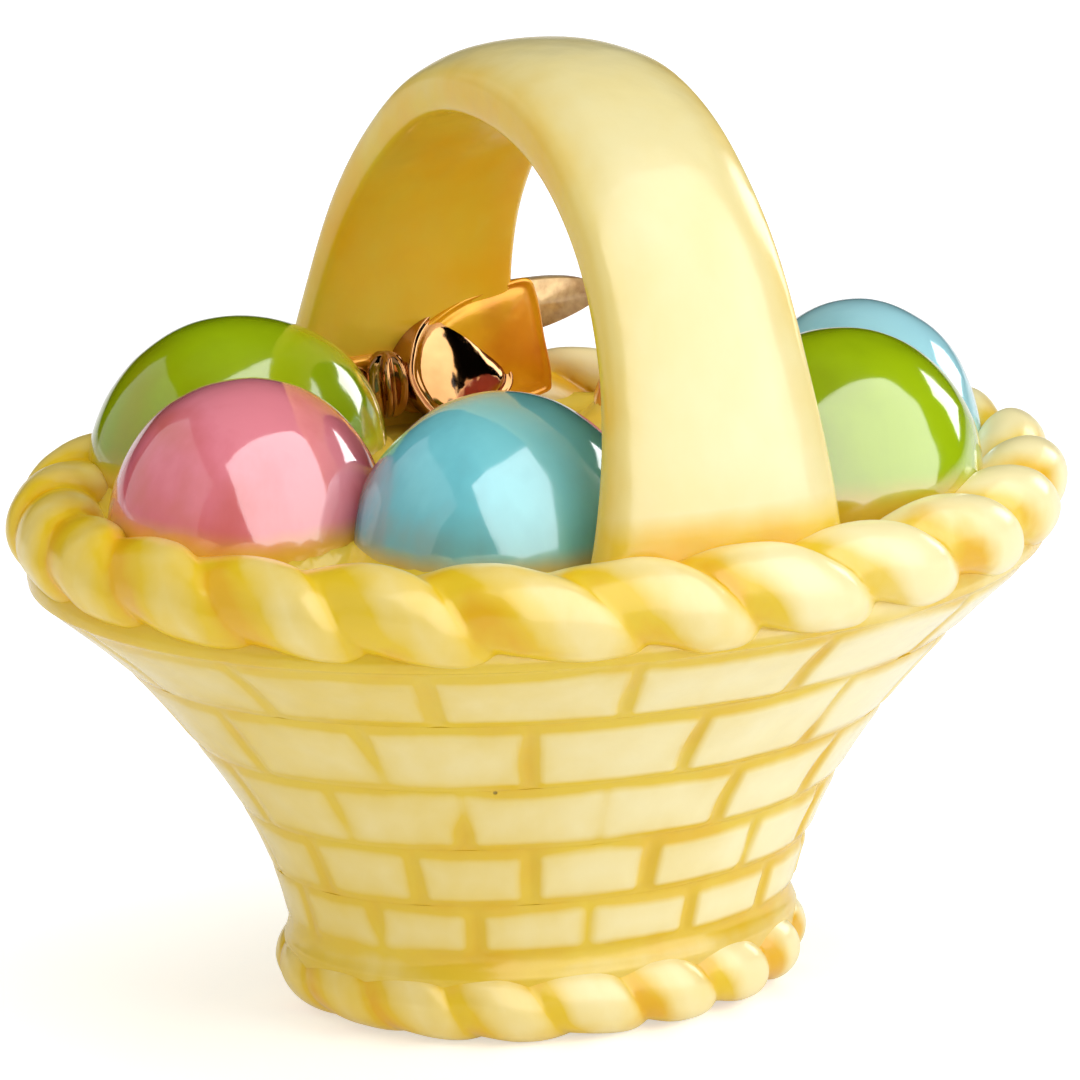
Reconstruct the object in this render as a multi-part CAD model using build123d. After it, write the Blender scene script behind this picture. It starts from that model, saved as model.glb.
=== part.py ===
"""Easter basket figurine: a glazed ceramic basket with a strap handle, eggs and a gold bow.

Millimetres. +Z is up, +X runs along the long axis of the oval basket, and the handle arches
over the short axis, along Y. The origin is on the surface that the basket stands on, under
the middle of the oval.
"""
from build123d import *
import math
import os

# ---- basket wall: an oval cup that flares as a power of its height ----
FOOT_HALF_LENGTH = 13.4          # half of the oval's long axis, low on the wall
FLARE = 12.6                     # how much further out the wall is at FLARE_TOP
FLARE_START = 2.0
FLARE_TOP = 22.0
FLARE_POWER = 1.9
RATIO_LOW = 0.739                # short axis over long axis, at FLARE_START
RATIO_HIGH = 0.779               # the same, at the rim
RIM_HEIGHT = 25.5                # centre line of the rim rope
WALL = 2.2
WALL_TOP = 22.6                  # top of the woven wall, under the rim rope
NECK_TOP = 24.6                  # top of the plain ring that carries the rim rope
FLOOR = 2.4
VENT_RADIUS = 3.0

# ---- woven relief: raised slabs in running bond ----
RELIEF = 0.5
JOINT_CUT = 9.0                  # length of the cutter that parts two slabs
COURSE_EDGES = [22.75, 19.0, 14.75, 11.0, 7.65, 4.8]   # groove heights, top to bottom
GROOVE = 0.55
SLABS_PER_COURSE = 15
FRONT_ANGLE = 270.0              # the -Y side of the oval

# ---- ropes ----
RIM_HALF_LENGTH = 25.54
RIM_HALF_WIDTH = 19.9
RIM_ROPE_RADIUS = 2.43
FOOT_ROPE_HALF_LENGTH = 12.17
FOOT_ROPE_HALF_WIDTH = 9.0
FOOT_ROPE_RADIUS = 2.05
FOOT_NECK_HALF_LENGTH = 11.3     # the recess of the wall that the foot rope lies in
FOOT_NECK_HALF_WIDTH = 8.2
FOOT_NECK_TOP = 4.0

# ---- handle: a strap of D section on a superelliptic arch ----
HANDLE_X = 0.6
HANDLE_SPRING = 26.0             # height at which the arch starts
HANDLE_RISE = 20.25
HANDLE_HALF_SPAN = 16.1
ARCH_POWER_Y = 2.22
ARCH_POWER_Z = 1.94
STRAP_WIDTH_TOP = 9.8
STRAP_FLARE = 4.0                # extra width at the feet
STRAP_EDGE = 1.8
STRAP_CROWN = 3.0
HANDLE_FOOT = 24.8               # the strap runs down to here, behind the rim rope
ARCH_SECTIONS = 15

# ---- bed that the eggs rest in ----
BED_BOTTOM = 22.6
BED_EDGE = 25.2
BED_CROWN = 27.0

# ---- eggs: name -> centre, heading of the blunt end, blunt, pointed, short and upright semi-axes ----
EGGS = {
    "egg_green_left": ((-12.0, 10.1, 27.2), 185.0, 8.4, 9.2, 6.6, 7.4),
    "egg_pink_left": ((-17.0, -0.2, 27.0), 35.0, 7.1, 7.5, 7.1, 7.0),
    "egg_blue_left": ((-6.8, -7.9, 26.9), 20.0, 7.5, 7.9, 7.0, 7.0),
    "egg_green_right": ((12.8, -8.0, 26.7), 15.0, 7.6, 8.0, 7.0, 8.0),
    "egg_blue_right": ((19.2, 1.0, 25.9), 100.0, 6.6, 7.0, 6.0, 7.6),
    "egg_pink_right": ((13.6, 9.6, 26.2), 60.0, 4.9, 5.3, 4.7, 5.2),
}
EGG_SEAT = BED_BOTTOM + 1.0   # the eggs are cast as domes: cut flat here, inside the deck

# ---- bow of gold ribbon on the far leg of the handle ----
BOW_X = -1.0
BOW_Z = 28.4
BOW_FACE_Y = 15.9                # inner face of the far leg, which the bow lies on
KNOT_HALF_WIDTH = 1.05
KNOT_HALF_HEIGHT = 1.9
LOOP_LENGTH = 6.6
LOOP_HEIGHT = 4.6
LOOP_DEPTH = 1.7
BAND_THICK = 0.5
BAND_FACE_Y = BOW_FACE_Y - BAND_THICK
BAND_BACK_Y = BOW_FACE_Y + STRAP_CROWN + BAND_THICK
BAND_LOW = 28.1
BAND_HIGH = 31.8
BAND_REACH = 2.4                 # how much wider the flat ribbon is than the leg
TAIL_WIDTH = 2.4
TAIL_THICK = 0.7
TAIL_START = 2.0
TAIL_LOW = 28.8
TAILS = {                        # name -> side, reach from the leg's middle, rise at the end
    "bow_tail_right": (1, 13.0, 0.6),
    "bow_tail_left": (-1, 9.5, -0.6),
}


def half_length(z):
    """Half of the oval's long axis at the outside of the wall, at height z."""
    rise = max(z - FLARE_START, 0.0) / (FLARE_TOP - FLARE_START)
    return FOOT_HALF_LENGTH + FLARE * rise ** FLARE_POWER


def ratio(z):
    """Short axis over long axis at height z."""
    share = min(max((z - FLARE_START) / (RIM_HEIGHT - FLARE_START), 0.0), 1.0)
    return RATIO_LOW + (RATIO_HIGH - RATIO_LOW) * share


def oval(z, inset=0.0):
    """The wall's oval at height z, drawn in by inset."""
    a = half_length(z)
    return Plane.XY.offset(z) * Ellipse(a - inset, a * ratio(z) - inset)


def oval_block(low, high, a, b):
    """An upright oval block."""
    return extrude(Plane.XY.offset(low) * Ellipse(a, b), high - low)


def flared_body(low, high, inset, steps=7):
    """The flaring oval between two heights, as one smooth solid."""
    heights = [low + (high - low) * i / (steps - 1) for i in range(steps)]
    return loft([oval(z, inset) for z in heights])


def rope_ring(a, b, z, radius):
    """A round rope laid in an oval ring."""
    path = Edge.make_ellipse(a, b, plane=Plane.XY.offset(z))
    section = Plane(origin=(a, 0, z), x_dir=(1, 0, 0), z_dir=(0, 1, 0)) * Circle(radius)
    return sweep(section, path=path)


def basket_shell(rim):
    """The hollow cast cup: foot, flaring wall, ring under the rim, floor and vent hole."""
    top_a = half_length(WALL_TOP) - RELIEF
    top_b = half_length(WALL_TOP) * ratio(WALL_TOP) - RELIEF
    outside = oval_block(0.0, FOOT_NECK_TOP, FOOT_NECK_HALF_LENGTH, FOOT_NECK_HALF_WIDTH)
    outside += flared_body(FOOT_NECK_TOP, WALL_TOP, RELIEF)
    outside += oval_block(WALL_TOP, NECK_TOP, top_a, top_b)
    foot_inside = oval_block(
        FLOOR, FOOT_NECK_TOP + WALL, FOOT_NECK_HALF_LENGTH - WALL, FOOT_NECK_HALF_WIDTH - WALL
    )
    inside = foot_inside + flared_body(FOOT_NECK_TOP + WALL, WALL_TOP, RELIEF + WALL)
    inside += oval_block(WALL_TOP, NECK_TOP + WALL, top_a - WALL, top_b - WALL)
    vent = Pos(0, 0, FLOOR / 2) * Cylinder(VENT_RADIUS, 2 * FLOOR)
    return outside - inside - vent - rim


def wall_normal(angle, z):
    """A point on the wall at a parameter angle, with the heading of its outward normal."""
    a = half_length(z)
    b = a * ratio(z)
    x = a * math.cos(math.radians(angle))
    y = b * math.sin(math.radians(angle))
    heading = math.degrees(math.atan2(y / b ** 2, x / a ** 2))
    return x, y, heading


def weave_course(index, skin, core):
    """One course of raised slabs: a ring between two grooves, parted by upright joints."""
    high = COURSE_EDGES[index] - GROOVE / 2
    low = COURSE_EDGES[index + 1] + GROOVE / 2
    high = min(high, WALL_TOP)
    middle = (low + high) / 2
    reach = 2 * half_length(high) + 4
    level = Pos(0, 0, middle) * Box(reach, reach, high - low)
    ring = (skin & level) - core
    pitch = 360.0 / SLABS_PER_COURSE
    shift = pitch / 2 if index % 2 == 0 else 0.0
    joints = []
    for k in range(SLABS_PER_COURSE):
        x, y, heading = wall_normal(FRONT_ANGLE + shift + pitch * k, middle)
        joints.append(Pos(x, y, middle) * Rot(0, 0, heading) * Box(JOINT_CUT, GROOVE, JOINT_CUT))
    return ring - joints


def arch_point(turn):
    """A point on the handle's inner curve, turn running from 0 at -Y to pi at +Y."""
    c = math.cos(turn)
    s = math.sin(turn)
    y = -HANDLE_HALF_SPAN * math.copysign(abs(c) ** (2 / ARCH_POWER_Y), c)
    z = HANDLE_SPRING + HANDLE_RISE * abs(s) ** (2 / ARCH_POWER_Z)
    return y, z


def strap_section(y, z, run_y, run_z):
    """The strap's D section at a point of the inner curve; run is the curve's direction."""
    drop = min((HANDLE_SPRING + HANDLE_RISE - z) / HANDLE_RISE, 1.0)
    half = (STRAP_WIDTH_TOP + STRAP_FLARE * drop ** 2) / 2
    plane = Plane(origin=(HANDLE_X, y, z), x_dir=(1, 0, 0), z_dir=(0, -run_y, -run_z))
    flat = Polyline((-half, STRAP_EDGE), (-half, 0), (half, 0), (half, STRAP_EDGE))
    crown = ThreePointArc((half, STRAP_EDGE), (0, STRAP_CROWN), (-half, STRAP_EDGE))
    return plane * make_face(flat + crown)


def handle(rim):
    """The strap, lofted along its arch, with its feet shaped to the rim rope."""
    step = math.pi / (ARCH_SECTIONS - 1)
    first = step * 0.15
    nudge = 1e-3
    sections = [strap_section(-HANDLE_HALF_SPAN, HANDLE_FOOT, 0, 1)]
    for i in range(ARCH_SECTIONS):
        turn = min(max(step * i, first), math.pi - first)
        y, z = arch_point(turn)
        y_next, z_next = arch_point(turn + nudge)
        y_last, z_last = arch_point(turn - nudge)
        run = math.hypot(y_next - y_last, z_next - z_last)
        sections.append(strap_section(y, z, (y_next - y_last) / run, (z_next - z_last) / run))
    sections.append(strap_section(HANDLE_HALF_SPAN, HANDLE_FOOT, 0, -1))
    return loft(sections) - rim


def egg(centre, heading, blunt, pointed, short, upright):
    """An egg lying down, two half ellipses spun about its long axis, with a flat seat."""
    blunt_half = EllipticalCenterArc((0, 0), blunt, short, start_angle=0, arc_size=90)
    pointed_half = EllipticalCenterArc((0, 0), pointed, short, start_angle=90, arc_size=90)
    profile = make_face(blunt_half + pointed_half + Line((-pointed, 0), (blunt, 0)))
    body = scale(revolve(profile, Axis.X), by=(1, 1, upright / short))
    body = Pos(*centre) * Rot(0, 0, heading) * body
    room = 2 * RIM_HALF_LENGTH
    above = Box(room, room, room, align=(Align.CENTER, Align.CENTER, Align.MIN))
    return body & Pos(0, 0, EGG_SEAT) * above


def egg_bed(rim, strap, eggs):
    """The deck that closes the cup, a little domed, with a socket under each egg."""
    a = half_length(WALL_TOP) - RELIEF - WALL
    b = half_length(WALL_TOP) * ratio(WALL_TOP) - RELIEF - WALL
    deck = oval_block(BED_BOTTOM, BED_EDGE, a, b)
    dome = loft([
        Plane.XY.offset(BED_EDGE) * Ellipse(a - 1.5, b - 1.5),
        Plane.XY.offset((BED_EDGE + BED_CROWN) / 2) * Ellipse(a * 0.74, b * 0.74),
        Plane.XY.offset(BED_CROWN) * Ellipse(a * 0.3, b * 0.3),
    ])
    return deck + dome - rim - strap - eggs


def bow_knot():
    """The tied middle of the bow, an upright barrel."""
    side = EllipticalCenterArc((0, 0), KNOT_HALF_WIDTH, KNOT_HALF_HEIGHT, start_angle=-90, arc_size=180)
    profile = make_face(side + Line((0, KNOT_HALF_HEIGHT), (0, -KNOT_HALF_HEIGHT)))
    return Pos(BOW_X, BAND_FACE_Y - KNOT_HALF_WIDTH, BOW_Z) * revolve(Plane.XZ * profile, Axis.Z)


def bow_loop(side, others):
    """One puffed loop, a rounded teardrop that narrows into the knot; side is +1 or -1."""
    low = (LOOP_LENGTH * 0.5, -LOOP_HEIGHT * 0.42)
    tip = (LOOP_LENGTH, -0.2)
    high = (LOOP_LENGTH * 0.55, LOOP_HEIGHT * 0.62)
    outline = Spline((0.2, -0.9), low, tip, high, (0.2, 0.9))
    drop = make_face(outline + Line((0.2, 0.9), (0.2, -0.9)))
    face = Plane(origin=(BOW_X, BAND_FACE_Y, BOW_Z), x_dir=(side, 0, 0), z_dir=(0, -side, 0))
    return extrude(face * drop, LOOP_DEPTH * side) - others


def ribbon_band(others):
    """The flat ribbon round the far leg, standing proud of the leg's edges."""
    wide = STRAP_WIDTH_TOP + STRAP_FLARE + BAND_REACH
    deep = BAND_BACK_Y - BAND_FACE_Y
    middle = (HANDLE_X, (BAND_FACE_Y + BAND_BACK_Y) / 2, (BAND_LOW + BAND_HIGH) / 2)
    return Pos(*middle) * Box(wide, deep, BAND_HIGH - BAND_LOW) - others


def bow_tail(side, length, rise, others):
    """A ribbon end behind the leg, cut on the slant; side is +1 or -1."""
    corner = (length, rise + TAIL_WIDTH * 0.6)
    under = (length - TAIL_WIDTH * 0.3, rise)
    over = (length - TAIL_WIDTH, rise + TAIL_WIDTH)
    outline = Polyline((TAIL_START, 0), under, corner, over, (TAIL_START, TAIL_WIDTH), close=True)
    face = Plane(origin=(HANDLE_X, BAND_BACK_Y, TAIL_LOW), x_dir=(side, 0, 0), z_dir=(0, -side, 0))
    return extrude(face * make_face(outline), -TAIL_THICK * side) - others


def write(name, shape):
    export_step(shape, f"parts/{name}.step")


os.makedirs("parts", exist_ok=True)
rim_rope = rope_ring(RIM_HALF_LENGTH, RIM_HALF_WIDTH, RIM_HEIGHT, RIM_ROPE_RADIUS)
shell = basket_shell(rim_rope)
foot_rope = rope_ring(FOOT_ROPE_HALF_LENGTH, FOOT_ROPE_HALF_WIDTH, FOOT_ROPE_RADIUS, FOOT_ROPE_RADIUS)
foot_rope -= shell
strap = handle(rim_rope)
write("basket_shell", shell)
write("rim_rope", rim_rope)
write("foot_rope", foot_rope)
write("handle", strap)

skin = flared_body(FOOT_NECK_TOP, WALL_TOP, 0.0)
core = flared_body(FOOT_NECK_TOP, WALL_TOP, RELIEF)
for index in range(len(COURSE_EDGES) - 1):
    write(f"weave_course_{index + 1}", weave_course(index, skin, core))

eggs = []
for name, measures in EGGS.items():
    body = egg(*measures) - rim_rope - shell
    for earlier in eggs:
        body -= earlier
    eggs.append(body)
    write(name, body)
write("egg_bed", egg_bed(rim_rope, strap, eggs))


knot = bow_knot() - eggs
write("bow_knot", knot)
write("bow_loop_right", bow_loop(1, [knot, *eggs]))
write("bow_loop_left", bow_loop(-1, [knot, *eggs]))
write("ribbon_band", ribbon_band([strap, rim_rope, *eggs]))
for name, (side, length, rise) in TAILS.items():
    write(name, bow_tail(side, length, rise, [rim_rope, *eggs]))
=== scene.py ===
# %% [markdown]
# # A glazed Easter basket, piece by piece
# The object is a palm-sized ceramic figurine: a flaring oval basket with a rope round its rim and
# another round its foot, a strap handle, six painted eggs and a bow in gold lustre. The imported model
# is loaded first and stays fixed. Every visible piece is then built around it, in metres, in the same
# frame: +X along the basket's long axis, +Y along the handle's span, +Z up.

# %% Load the fixed frame
import math

import bmesh
import bpy
from mathutils import Matrix, Vector, noise


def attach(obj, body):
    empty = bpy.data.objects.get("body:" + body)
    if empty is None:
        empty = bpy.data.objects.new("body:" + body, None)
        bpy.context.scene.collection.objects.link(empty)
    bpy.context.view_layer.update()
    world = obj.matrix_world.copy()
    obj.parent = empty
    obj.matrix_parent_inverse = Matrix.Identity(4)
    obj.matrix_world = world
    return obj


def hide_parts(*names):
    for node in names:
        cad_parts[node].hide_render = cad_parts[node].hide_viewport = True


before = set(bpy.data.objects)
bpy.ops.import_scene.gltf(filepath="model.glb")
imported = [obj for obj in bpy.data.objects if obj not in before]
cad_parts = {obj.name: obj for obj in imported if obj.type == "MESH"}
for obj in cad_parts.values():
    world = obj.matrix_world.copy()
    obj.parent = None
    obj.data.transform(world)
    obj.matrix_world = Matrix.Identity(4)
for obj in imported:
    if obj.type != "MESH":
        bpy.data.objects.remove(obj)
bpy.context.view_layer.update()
MM = 0.001
print("nodes in the frame:", len(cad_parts))

# %% [markdown]
# ## Camera
# The view is from the front left and a little above, from half a metre away with a long lens, so the
# perspective is weak. The camera's place is worked out from two angles and a distance, and it aims
# at a point just under the middle of the figurine.

# %% Camera
VIEW_TURN = math.radians(28.53)
VIEW_HEIGHT = math.radians(15.74)
VIEW_DISTANCE = 0.5
AIM = Vector((0.12, 0.38, 23.38)) * MM
PIVOT = Vector((0, 0, 22)) * MM  # the view distance is measured from here
LENS = 328.3
SENSOR = 36
NEAREST = 0.01

toward = Vector((
    math.sin(VIEW_TURN) * math.cos(VIEW_HEIGHT),
    math.cos(VIEW_TURN) * math.cos(VIEW_HEIGHT),
    -math.sin(VIEW_HEIGHT),
))
VIEW_RIGHT = Vector((math.cos(VIEW_TURN), -math.sin(VIEW_TURN), 0))
VIEW_UP = VIEW_RIGHT.cross(toward)


def look(thing, place, aim):
    """Puts a camera or a lamp at a place and turns it to face a point."""
    turn = (aim - place).to_track_quat("-Z", "Y").to_matrix().to_4x4()
    thing.matrix_world = Matrix.Translation(place) @ turn


camera = bpy.data.objects.new("camera", bpy.data.cameras.new("camera"))
camera.data.lens = LENS
camera.data.sensor_width = SENSOR
camera.data.clip_start = NEAREST
bpy.context.scene.collection.objects.link(camera)
look(camera, PIVOT - toward * VIEW_DISTANCE, AIM)
bpy.context.scene.camera = camera
bpy.context.scene.view_settings.view_transform = "Standard"
print("camera stands at", [round(v, 3) for v in camera.location])

# %% [markdown]
# ## Floor and lights
# A glaze is mostly reflections, so what it mirrors matters as much as what lights it. Here the two
# jobs are split. Fill panels light the surface and aren't mirrored. Shine panels are only mirrored:
# one tall wide panel at the right draws the broad pale patch on every egg and down the front of the
# handle, a weak one at the left a fainter patch, and a small one behind the small sharp glint. Their
# places are directions seen from the camera: right, up, and back towards the camera. The floor glows
# more where it is seen directly, so it is white but doesn't wash out the glaze from below.

# %% Floor and lights
FLOOR_HALF = 3.0
FLOOR_GLOW_LIT = 0.16  # how much the floor glows where it only lights or is mirrored
FLOOR_GLOW_SEEN = 0.5  # and where it is seen directly


def link(name, data):
    """Makes an object from its data and puts it in the scene."""
    made = bpy.data.objects.new(name, data)
    bpy.context.scene.collection.objects.link(made)
    return made


def flat_sheet(name, half):
    """A square floor through the origin."""
    mesh = bpy.data.meshes.new(name)
    corners = [(-half, -half, 0), (half, -half, 0), (half, half, 0), (-half, half, 0)]
    mesh.from_pydata(corners, [], [(0, 1, 2, 3)])
    return link(name, mesh)


floor = flat_sheet("floor", FLOOR_HALF)
floor_finish = bpy.data.materials.new("pale_floor")
floor_finish.use_nodes = True
floor_shader = floor_finish.node_tree.nodes["Principled BSDF"]
floor_shader.inputs["Base Color"].default_value = (0.86, 0.86, 0.86, 1)
floor_shader.inputs["Roughness"].default_value = 0.7
floor_shader.inputs["Specular IOR Level"].default_value = 0.1
floor_shader.inputs["Emission Color"].default_value = (1.0, 1.0, 1.0, 1)
floor_path = floor_finish.node_tree.nodes.new("ShaderNodeLightPath")
floor_glow = floor_finish.node_tree.nodes.new("ShaderNodeMapRange")
floor_glow.inputs["To Min"].default_value = FLOOR_GLOW_LIT
floor_glow.inputs["To Max"].default_value = FLOOR_GLOW_SEEN
floor_finish.node_tree.links.new(floor_path.outputs["Is Camera Ray"], floor_glow.inputs["Value"])
floor_finish.node_tree.links.new(floor_glow.outputs["Result"], floor_shader.inputs["Emission Strength"])
floor.data.materials.append(floor_finish)

PANELS = {  # name: (right, up, back), distance, width, height, brightness
    "key_fill": ((0.84, 0.34, 0.42), 0.55, 0.45, 0.50, 2.45),
    "left_fill": ((-0.60, 0.30, 0.74), 0.55, 0.42, 0.45, 1.2),
    "top_fill": ((0.05, 0.98, 0.15), 0.60, 0.50, 0.50, 1.8),
    "key_shine": ((0.63, 0.32, 0.70), 0.55, 0.95, 1.20, 3.0),
    "left_shine": ((-0.94, 0.31, 0.17), 0.55, 1.10, 0.80, 0.5),
    "rear_shine": ((0.72, 0.42, -0.50), 0.60, 0.20, 0.22, 5.0),
}
for name, (direction, distance, width, height, brightness) in PANELS.items():
    lamp = bpy.data.lights.new(name, "AREA")
    lamp.shape = "RECTANGLE"
    lamp.size = width
    lamp.size_y = height
    lamp.energy = brightness * math.pi * width * height
    panel = link(name, lamp)
    panel.visible_glossy = name.endswith("shine")
    panel.visible_diffuse = name.endswith("fill")
    right, up, back = direction
    heading = (VIEW_RIGHT * right + VIEW_UP * up - toward * back).normalized()
    look(panel, AIM + heading * distance, AIM)

world = bpy.data.worlds.new("studio")
world.use_nodes = True
world.node_tree.nodes["Background"].inputs["Color"].default_value = (1.0, 0.99, 0.97, 1)
world.node_tree.nodes["Background"].inputs["Strength"].default_value = 0.36
world.cycles_visibility.glossy = False
bpy.context.scene.world = world
print("light panels:", len(PANELS))

# %% [markdown]
# ## Writing node trees as arithmetic
# Both the shapes and the finishes below follow formulas. A Field wraps one socket of a node tree, and
# every sum or product on it adds a Math node, so a formula reads as it would on paper.

# %% Fields


def plug(tree, socket, value):
    """Feeds a socket from a Field, or sets it to a plain value."""
    if isinstance(value, Field):
        tree.links.new(value.socket, socket)
    else:
        socket.default_value = value


def add(tree, kind, inputs=None, **settings):
    """Adds one node with its settings, and feeds its inputs by name or number."""
    made = tree.nodes.new(kind)
    for name, value in settings.items():
        setattr(made, name, value)
    for name, value in (inputs or {}).items():
        plug(tree, made.inputs[name], value)
    return made


def field(tree, kind, inputs=None, output=0, **settings):
    """Adds one node and gives back one of its outputs."""
    return Field(tree, add(tree, kind, inputs, **settings).outputs[output])


def math_node(tree, operation, *values):
    return field(tree, "ShaderNodeMath", dict(enumerate(values)), operation=operation)


class Field:
    """A number that varies over a surface. Arithmetic on it adds Math nodes to its tree."""

    def __init__(self, tree, socket):
        self.tree = tree
        self.socket = socket

    def do(self, operation, *others):
        return math_node(self.tree, operation, self, *others)

    def __add__(self, other):
        return self.do("ADD", other)

    def __sub__(self, other):
        return self.do("SUBTRACT", other)

    def __rsub__(self, other):
        return math_node(self.tree, "SUBTRACT", other, self)

    def __mul__(self, other):
        return self.do("MULTIPLY", other)

    def __truediv__(self, other):
        return self.do("DIVIDE", other)

    def __pow__(self, other):
        return self.do("POWER", other)

    def clamp(self):
        return self.do("MAXIMUM", 0.0).do("MINIMUM", 1.0)

    def smooth(self):
        """The S-shaped step from 0 to 1."""
        held = self.clamp()
        return held * held * (3.0 - held * 2.0)


def pack(tree, x, y, z):
    return field(tree, "ShaderNodeCombineXYZ", {0: x, 1: y, 2: z})


def unpack(tree, vector):
    made = add(tree, "ShaderNodeSeparateXYZ", {0: vector})
    return [Field(tree, socket) for socket in made.outputs]


def vector_node(tree, operation, *values, output=0):
    made = add(tree, "ShaderNodeVectorMath", operation=operation)
    for slot, value in zip(made.inputs, values):
        plug(tree, slot, value)
    return Field(tree, made.outputs[output])


def scaled(tree, vector, amount):
    return field(tree, "ShaderNodeVectorMath", {0: vector, "Scale": amount}, operation="SCALE")


def grain(tree, place, scale, detail=2.0):
    """Noise about zero, from -0.5 to 0.5, that has its own size in units per metre."""
    made = add(tree, "ShaderNodeTexNoise", {"Vector": place, "Scale": scale, "Detail": detail})
    return Field(tree, made.outputs["Factor"] if "Factor" in made.outputs else made.outputs[0]) - 0.5


print("fields ready")

# %% [markdown]
# ## Glaze
# The figurine is dipped in a clear glaze over hand-brushed stains. Where the clay stands proud the
# glaze runs thin and pale, and where it is hollow the glaze pools and turns a deeper golden colour.
# So each piece carries a pool attribute, 1 in the grooves and 0 or less on the crests, and one shared
# node group turns it into colour, with brushed patches, darker strokes where a loaded brush filled a
# pool, tiny pinholes and a faint ripple. On the eggs the same attribute carries painted shade instead.
# Every glaze but the eggs' is also painted darker and deeper towards -X, the side away from the key
# light: painted shade. The group puts out only a colour, a roughness and a height. The shader stays in
# each material.

# %% Shared glaze group


def colour(red, green, blue):
    """A screen colour from 0 to 255, as the linear colour that a shader takes."""
    def linear(level):
        part = level / 255
        return part / 12.92 if part <= 0.04045 else ((part + 0.055) / 1.055) ** 2.4
    return (linear(red), linear(green), linear(blue), 1.0)


def mix(tree, amount, first, second, blend="MIX"):
    made = add(tree, "ShaderNodeMix", data_type="RGBA", blend_type=blend)
    plug(tree, made.inputs[0], amount)
    plug(tree, made.inputs[6], first)
    plug(tree, made.inputs[7], second)
    return Field(tree, made.outputs[2])


def group_with(name, kind, inputs, outputs):
    """An empty node group with named sockets, its input fields and its output node."""
    tree = bpy.data.node_groups.new(name, kind)
    for label, (socket_type, value) in inputs.items():
        socket = tree.interface.new_socket(name=label, in_out="INPUT", socket_type=socket_type)
        if value is not None:
            socket.default_value = value
    for label, socket_type in outputs.items():
        tree.interface.new_socket(name=label, in_out="OUTPUT", socket_type=socket_type)
    source = tree.nodes.new("NodeGroupInput")
    fields = {label: Field(tree, source.outputs[label]) for label in inputs}
    return tree, fields, tree.nodes.new("NodeGroupOutput")


SIDE_SHADE_SPAN = 26 * MM  # the painted shade deepens over this length towards -X
PINHOLE_CELLS = 330.0  # cells per metre, of which a few hold a pinhole
PINHOLE_RADIUS = 0.036  # as a share of a cell
PINHOLE_PICK = 0.86  # cells whose random number is above this have one
PINHOLE_COLOUR = colour(110, 90, 40)


def make_glaze_group():
    number, tint = "NodeSocketFloat", "NodeSocketColor"
    tree, given, out = group_with(
        "hand_brushed_glaze",
        "ShaderNodeTree",
        {
            "Thin": (tint, (1, 1, 1, 1)),
            "Deep": (tint, (1, 1, 1, 1)),
            "Shade": (tint, (1, 1, 1, 1)),
            "Pool And Shade": (number, 0.0),
            "Patches": (number, 0.5),
            "Stain": (number, 0.5),
            "Side Shade": (number, 0.0),
            "Patch Size": (number, 160.0),
            "Pinholes": (number, 1.0),
            "Dullness": (number, 0.1),
        },
        {"Colour": tint, "Roughness": number, "Height": number},
    )
    place = field(tree, "ShaderNodeTexCoord", output="Object")
    brushed = field(tree, "ShaderNodeMapping", {"Vector": place, "Scale": (1.0, 1.0, 0.4)})
    broad = grain(tree, place, given["Patch Size"], 3.0)
    strokes = grain(tree, brushed, given["Patch Size"] * 3.0, 4.0)
    patch = (broad * 1.6 + strokes * 0.9) * given["Patches"]
    # Painted shade: the colour darkens and deepens towards -X, the side away from the key light.
    side_shade = (0.35 - unpack(tree, place)[0] / SIDE_SHADE_SPAN).clamp() * given["Side Shade"]
    depth = (given["Pool And Shade"] + patch + side_shade).clamp()
    body = mix(tree, depth, given["Thin"], given["Deep"])
    loaded = (broad * 3.0 + strokes * 1.2 + 0.2).clamp() * given["Pool And Shade"].clamp()
    body = mix(tree, loaded * given["Stain"], body, given["Shade"])
    cells = add(tree, "ShaderNodeTexVoronoi", {"Vector": place, "Scale": PINHOLE_CELLS})
    spot = ((PINHOLE_RADIUS - Field(tree, cells.outputs["Distance"])) * 60.0).clamp()
    pick = unpack(tree, Field(tree, cells.outputs["Color"]))[0]
    hole = spot * ((pick - PINHOLE_PICK) * 40.0).clamp() * given["Pinholes"]
    body = mix(tree, hole * 0.6, body, PINHOLE_COLOUR)
    ripple = grain(tree, place, 420.0, 1.0) * 0.5 + grain(tree, place, 1500.0, 2.0) * 0.06
    plug(tree, out.inputs["Colour"], body)
    plug(tree, out.inputs["Roughness"], (strokes * 0.08 + given["Dullness"] + hole * 0.4).clamp())
    plug(tree, out.inputs["Height"], ripple - hole * 0.6)
    return tree


glaze_group = make_glaze_group()
print("glaze group nodes:", len(glaze_group.nodes))

# %% [markdown]
# ## One glaze for each colour
# Each finish puts the shared group into a Principled shader with a clear coat over it. The pool
# attribute comes from the piece. The eggs were given a thicker, glossier coat, and they add a band of
# golden glaze low down, where the yellow of the basket has run up against them.

# %% Glazes
RIPPLE = 0.12 * MM
BASKET_RIPPLE = 1.7  # the basket ripples this much more than the eggs
CREEP_WANDER = 1.6 * MM  # how unevenly the yellow creeps up an egg
CREEP_COVER = 0.9
BASKET_COAT = {"IOR": 1.44, "Coat Weight": 0.35, "Coat IOR": 1.55, "Coat Roughness": 0.14}
EGG_COAT = {"IOR": 1.66, "Coat Weight": 1.0, "Coat IOR": 1.55, "Coat Roughness": 0.06}
EGG_DULLNESS = 0.11


def principled(name):
    finish = bpy.data.materials.new(name)
    finish.use_nodes = True
    return finish, finish.node_tree, finish.node_tree.nodes["Principled BSDF"]


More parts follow.
